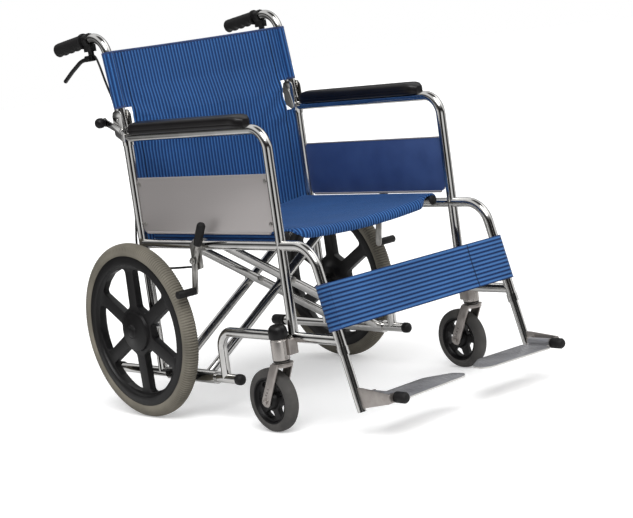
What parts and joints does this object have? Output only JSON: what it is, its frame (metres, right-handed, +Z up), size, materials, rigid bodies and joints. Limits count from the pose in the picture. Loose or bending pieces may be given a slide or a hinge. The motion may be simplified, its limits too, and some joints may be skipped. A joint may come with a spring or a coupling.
{
  "type": "folding wheelchair",
  "caption": "Attendant propelled folding wheelchair with cross brace, moulded wheels, casters, half folding back, flip up footplates and brakes",
  "frame": {"origin": "floor point under the middle of the chair's bounding box", "axes": "+Z up, +Y to the rear along the push handles, +X to the occupant's left"},
  "size_m": [0.6696, 1.0312, 0.8966],
  "materials": {
    "chrome": "polished",
    "zinc": "satin",
    "cast_aluminium": "satin",
    "panel": "satin",
    "black_plastic": "matte",
    "black_rubber": "matte",
    "tyre": "matte",
    "caster_tyre": "matte",
    "vinyl": "satin",
    "striped_fabric": "woven"
  },
  "bodies": {
    "right_frame": {"back_post_right": "chrome", "arm_tube_right": "chrome", "leg_rail_right": "chrome", "front_post_right": "chrome", "lower_rail_right": "chrome", "base_tube_right": "chrome", "skirt_panel_right": "panel", "arm_pad_right": "vinyl", "caster_cap_right": "black_plastic", "leg_tube_right": "chrome", "footrest_cap_right": "black_rubber", "brake_bracket_right": "zinc", "brake_cable_right": "black_rubber", "seat_sling": "striped_fabric", "back_sling_lower": "striped_fabric", "calf_strap": "striped_fabric"},
    "brace_a": {"brace_a": "chrome", "pivot_bolt_rear": "zinc", "pivot_bolt_front": "zinc"},
    "brace_b": {"brace_b": "chrome"},
    "left_frame": {"back_post_left": "chrome", "arm_tube_left": "chrome", "leg_rail_left": "chrome", "front_post_left": "chrome", "lower_rail_left": "chrome", "base_tube_left": "chrome", "skirt_panel_left": "panel", "arm_pad_left": "vinyl", "caster_cap_left": "black_plastic", "leg_tube_left": "chrome", "footrest_cap_left": "black_rubber", "brake_bracket_left": "zinc", "brake_cable_left": "black_rubber"},
    "wheel_right": {"rear_tyre_right": "tyre", "rear_hub_right": "black_plastic"},
    "swivel_right": {"caster_fork_right": "cast_aluminium"},
    "caster_right": {"caster_wheel_right": "caster_tyre"},
    "foot_right": {"footplate_right": "cast_aluminium"},
    "cane_right": {"back_cane_right": "chrome", "hand_grip_right": "black_rubber", "hand_brake_body_right": "black_plastic", "back_sling_upper": "striped_fabric"},
    "hand_lever_right": {"hand_brake_lever_right": "black_plastic"},
    "park_brake_right": {"brake_lever_right": "zinc", "brake_grip_right": "black_rubber", "brake_shoe_right": "black_rubber"},
    "latch_right": {"back_latch_right": "black_plastic"},
    "wheel_left": {"rear_tyre_left": "tyre", "rear_hub_left": "black_plastic"},
    "swivel_left": {"caster_fork_left": "cast_aluminium"},
    "caster_left": {"caster_wheel_left": "caster_tyre"},
    "foot_left": {"footplate_left": "cast_aluminium"},
    "cane_left": {"back_cane_left": "chrome", "hand_grip_left": "black_rubber", "hand_brake_body_left": "black_plastic"},
    "hand_lever_left": {"hand_brake_lever_left": "black_plastic"},
    "park_brake_left": {"brake_lever_left": "zinc", "brake_grip_left": "black_rubber", "brake_shoe_left": "black_rubber"},
    "latch_left": {"back_latch_left": "black_plastic"}
  },
  "joints": [
    {"name": "fold", "type": "hinge", "parent": "right_frame", "child": "brace_a", "pos_m": [-0.26, 0.10674, 0.095], "axis": [0, -1, 0], "range_deg": [0, 33], "deforming": ["seat_sling", "back_sling_upper", "back_sling_lower", "calf_strap"]},
    {"name": "brace_cross", "type": "hinge", "parent": "brace_a", "child": "brace_b", "pos_m": [0, 0.10674, 0.26529], "axis": [0, 1, 0], "range_deg": [0, 66]},
    {"name": "left_frame_fold", "type": "hinge", "parent": "brace_b", "child": "left_frame", "pos_m": [0.26, 0.10674, 0.095], "axis": [0, -1, 0], "range_deg": [0, 33]},
    {"name": "footplate_flip_right", "type": "hinge", "parent": "right_frame", "child": "foot_right", "pos_m": [-0.24, -0.44826, 0.088], "axis": [0, -1, 0], "range_deg": [0, 90]},
    {"name": "rear_wheel_right", "type": "hinge", "parent": "right_frame", "child": "wheel_right", "pos_m": [-0.307, 0.28474, 0.205], "axis": [1, 0, 0], "continuous": true},
    {"name": "caster_swivel_right", "type": "hinge", "parent": "right_frame", "child": "swivel_right", "pos_m": [-0.293, -0.19926, 0.15], "axis": [0, 0, 1], "continuous": true},
    {"name": "caster_roll_right", "type": "hinge", "parent": "swivel_right", "child": "caster_right", "pos_m": [-0.293, -0.15426, 0.07], "axis": [1, 0, 0], "continuous": true},
    {"name": "back_fold_right", "type": "hinge", "parent": "right_frame", "child": "cane_right", "pos_m": [-0.26, 0.29374, 0.69], "axis": [-1, 0, 0], "range_deg": [0, 90], "deforming": ["brake_cable_right"]},
    {"name": "hand_brake_right", "type": "hinge", "parent": "cane_right", "child": "hand_lever_right", "pos_m": [-0.26, 0.37874, 0.838], "axis": [1, 0, 0], "range_deg": [0, 16], "stiffness_Nm_per_rad": 1, "springref_deg": -11.46},
    {"name": "parking_brake_right", "type": "hinge", "parent": "right_frame", "child": "park_brake_right", "pos_m": [-0.284, 0.06674, 0.368], "axis": [1, 0, 0], "range_deg": [0, 11]},
    {"name": "back_latch_turn_right", "type": "hinge", "parent": "right_frame", "child": "latch_right", "pos_m": [-0.276, 0.28474, 0.665], "axis": [-1, 0, 0], "range_deg": [0, 20], "stiffness_Nm_per_rad": 0.5, "springref_deg": -17.19},
    {"name": "footplate_flip_left", "type": "hinge", "parent": "left_frame", "child": "foot_left", "pos_m": [0.24, -0.44826, 0.088], "axis": [0, 1, 0], "range_deg": [0, 90]},
    {"name": "rear_wheel_left", "type": "hinge", "parent": "left_frame", "child": "wheel_left", "pos_m": [0.307, 0.28474, 0.205], "axis": [1, 0, 0], "continuous": true},
    {"name": "caster_swivel_left", "type": "hinge", "parent": "left_frame", "child": "swivel_left", "pos_m": [0.293, -0.19926, 0.15], "axis": [0, 0, 1], "continuous": true},
    {"name": "caster_roll_left", "type": "hinge", "parent": "swivel_left", "child": "caster_left", "pos_m": [0.293, -0.15426, 0.07], "axis": [1, 0, 0], "continuous": true},
    {"name": "back_fold_left", "type": "hinge", "parent": "left_frame", "child": "cane_left", "pos_m": [0.26, 0.29374, 0.69], "axis": [-1, 0, 0], "range_deg": [0, 90], "deforming": ["brake_cable_left"]},
    {"name": "hand_brake_left", "type": "hinge", "parent": "cane_left", "child": "hand_lever_left", "pos_m": [0.26, 0.37874, 0.838], "axis": [1, 0, 0], "range_deg": [0, 16], "stiffness_Nm_per_rad": 1, "springref_deg": -11.46},
    {"name": "parking_brake_left", "type": "hinge", "parent": "left_frame", "child": "park_brake_left", "pos_m": [0.284, 0.06674, 0.368], "axis": [1, 0, 0], "range_deg": [0, 11]},
    {"name": "back_latch_turn_left", "type": "hinge", "parent": "left_frame", "child": "latch_left", "pos_m": [0.276, 0.28474, 0.665], "axis": [-1, 0, 0], "range_deg": [0, 20], "stiffness_Nm_per_rad": 0.5, "springref_deg": -17.19}
  ],
  "couplings": [
    {"joint": "brace_cross", "follows": "fold", "ratio": 2},
    {"joint": "left_frame_fold", "follows": "fold", "ratio": 1},
    {"joint": "footplate_flip_right", "follows": "fold", "ratio": 2.727},
    {"joint": "footplate_flip_left", "follows": "fold", "ratio": 2.727},
    {"joint": "back_fold_left", "follows": "back_fold_right", "ratio": 1}
  ]
}
